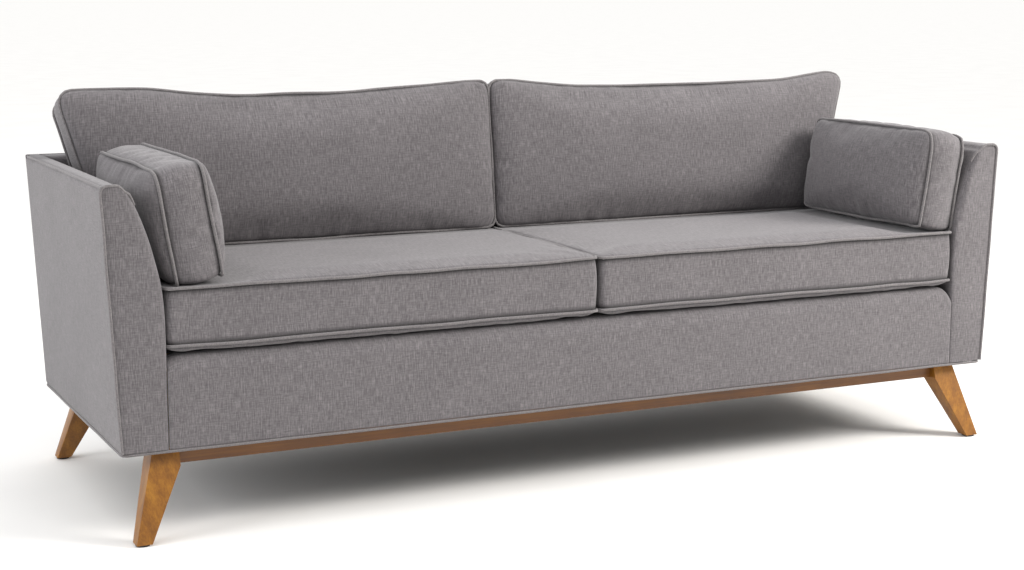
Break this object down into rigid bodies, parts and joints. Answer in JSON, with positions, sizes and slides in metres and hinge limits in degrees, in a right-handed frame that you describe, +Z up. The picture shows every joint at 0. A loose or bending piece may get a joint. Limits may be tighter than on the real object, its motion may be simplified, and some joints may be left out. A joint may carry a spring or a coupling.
{
  "type": "three-seat sofa",
  "caption": "Box-frame sofa with flared arms, loose welted seat and back cushions, arm pillows and a splayed wooden leg base.",
  "frame": {"origin": "on the floor, at the centre of the sofa's bounding box in plan", "axes": "+X to the right as someone facing the sofa's front sees it, -Y out of the front, +Y to the back, +Z up"},
  "size_m": [2.16, 0.7738, 0.8517],
  "materials": {
    "legs": "golden-brown oiled hardwood, satin lacquer",
    "rail_wood": "golden-brown oiled hardwood, satin lacquer, slightly darker board",
    "dowel_wood": "fluted beech dowel, raw",
    "zinc_steel": "bright zinc plating",
    "glide": "black nail-on plastic glide, worn",
    "frame_wood": "sawn kiln-dried hardwood and ply, raw",
    "spring_steel": "tempered spring wire, dark blued",
    "webbing": "woven elastic webbing",
    "padding": "off-white polyester felt over foam",
    "body_fabric": "warm mid-grey linen-look weave",
    "deck_cloth": "plain grey deck cloth",
    "dust_cloth": "black non-woven dust cloth",
    "welt_fabric": "self-fabric welt, bias-cut",
    "seat_foam": "cream high-resilience foam in wadding",
    "seat_fabric": "warm mid-grey linen-look weave, seat panels",
    "fill": "white fibre fill in a cambric ticking",
    "back_fabric": "warm mid-grey linen-look weave, back panels",
    "pillow_fabric": "warm mid-grey linen-look weave, pillow panels",
    "zip_tape": "nylon coil zip on grey tape"
  },
  "bodies": {
    "frame": {"leg_front_left": "legs", "leg_front_right": "legs", "leg_rear_left": "legs", "leg_rear_right": "legs", "base_rail_front": "rail_wood", "base_rail_rear": "rail_wood", "base_rail_dowels": "dowel_wood", "leg_bolts": "zinc_steel", "leg_nuts": "zinc_steel", "corner_block_screws": "zinc_steel", "foot_glides": "glide", "frame_front_rail": "frame_wood", "frame_rear_rail": "frame_wood", "frame_side_rail_left": "frame_wood", "frame_side_rail_right": "frame_wood", "frame_centre_stretcher": "frame_wood", "rear_spring_rail": "frame_wood", "corner_blocks": "frame_wood", "arm_front_form_left": "frame_wood", "arm_front_form_right": "frame_wood", "arm_rear_form_left": "frame_wood", "arm_rear_form_right": "frame_wood", "arm_top_rail_left": "frame_wood", "arm_top_rail_right": "frame_wood", "arm_tack_rail_left": "frame_wood", "arm_tack_rail_right": "frame_wood", "back_top_rail": "frame_wood", "back_posts": "frame_wood", "seat_springs": "spring_steel", "spring_clips": "spring_steel", "back_webbing": "webbing", "deck_pad": "padding", "back_padding": "padding", "border_padding": "padding", "arm_padding_left": "padding", "arm_padding_right": "padding", "arm_cover_left": "body_fabric", "arm_cover_right": "body_fabric", "inside_back_cover": "body_fabric", "outside_back_panel": "body_fabric", "border_cover": "body_fabric", "deck_cover": "deck_cloth", "dust_cover": "dust_cloth", "body_welts": "welt_fabric"},
    "seat_cushion_left": {"seat_cushion_core_left": "seat_foam", "seat_cushion_cover_left": "seat_fabric", "seat_cushion_zips_left": "zip_tape"},
    "back_cushion_left": {"back_cushion_core_left": "fill", "back_cushion_cover_left": "back_fabric", "back_cushion_zips_left": "zip_tape"},
    "arm_pillow_left": {"arm_pillow_core_left": "fill", "arm_pillow_cover_left": "pillow_fabric"},
    "seat_cushion_right": {"seat_cushion_core_right": "seat_foam", "seat_cushion_cover_right": "seat_fabric", "seat_cushion_zips_right": "zip_tape"},
    "back_cushion_right": {"back_cushion_core_right": "fill", "back_cushion_cover_right": "back_fabric", "back_cushion_zips_right": "zip_tape"},
    "arm_pillow_right": {"arm_pillow_core_right": "fill", "arm_pillow_cover_right": "pillow_fabric"}
  },
  "joints": [
    {"name": "seat_cushion_left_pull", "type": "slide", "parent": "frame", "child": "seat_cushion_left", "axis": [0, -1, 0], "range_m": [0, 0.7]},
    {"name": "seat_cushion_right_pull", "type": "slide", "parent": "frame", "child": "seat_cushion_right", "axis": [0, -1, 0], "range_m": [0, 0.7]},
    {"name": "back_cushion_left_lift", "type": "slide", "parent": "frame", "child": "back_cushion_left", "axis": [0, 0.1167, 0.9932], "range_m": [0, 0.4]},
    {"name": "back_cushion_right_lift", "type": "slide", "parent": "frame", "child": "back_cushion_right", "axis": [0, 0.1167, 0.9932], "range_m": [0, 0.4]},
    {"name": "arm_pillow_left_lift", "type": "slide", "parent": "frame", "child": "arm_pillow_left", "axis": [-0.1513, 0, 0.9885], "range_m": [0, 0.4]},
    {"name": "arm_pillow_right_lift", "type": "slide", "parent": "frame", "child": "arm_pillow_right", "axis": [0.1513, 0, 0.9885], "range_m": [0, 0.4]}
  ]
}
